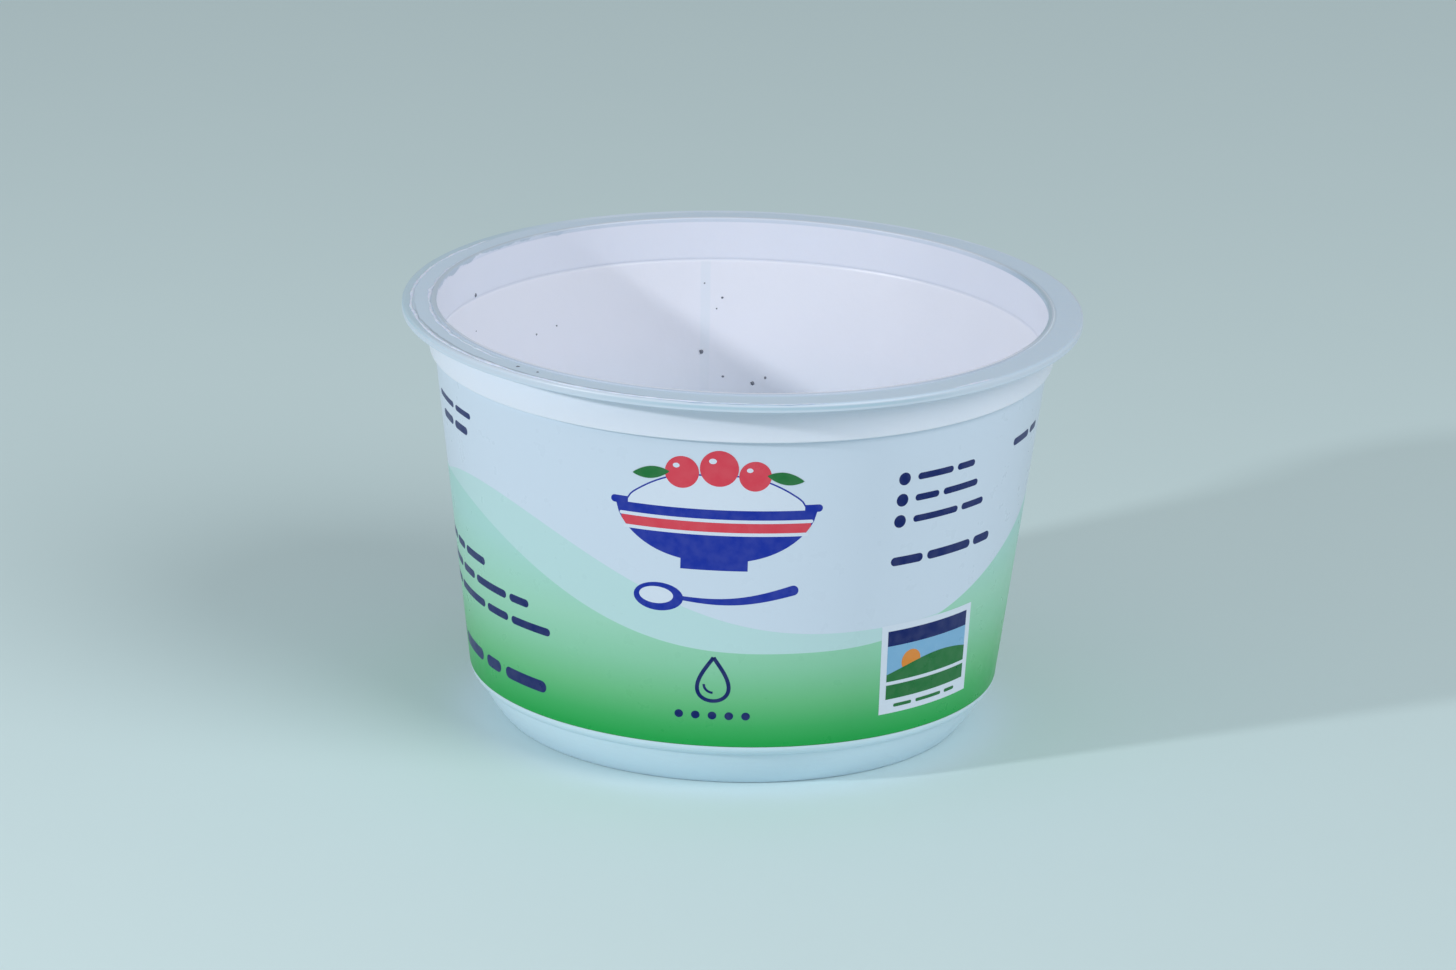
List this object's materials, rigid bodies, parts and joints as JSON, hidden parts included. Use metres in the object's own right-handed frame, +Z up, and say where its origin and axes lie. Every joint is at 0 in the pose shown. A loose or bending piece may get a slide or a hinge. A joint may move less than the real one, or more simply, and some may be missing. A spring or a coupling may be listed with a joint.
{
  "type": "plastic yogurt cup",
  "caption": "Empty round tapered dairy cup with a flat sealing flange, stacking collar, stepped foot and a printed white and green label.",
  "frame": {"origin": "centre of the foot, on the surface the cup stands on", "axes": "+Z up along the cup's axis, -Y towards the front of the label, +X to the right of someone facing that front"},
  "size_m": [0.095, 0.095, 0.0595],
  "materials": {
    "white_plastic": "satin thermoformed white polypropylene, faintly see-through",
    "printed_film": "satin printed film, white field running into green"
  },
  "bodies": {
    "root": {"cup": "white_plastic", "label": "printed_film"}
  },
  "joints": []
}
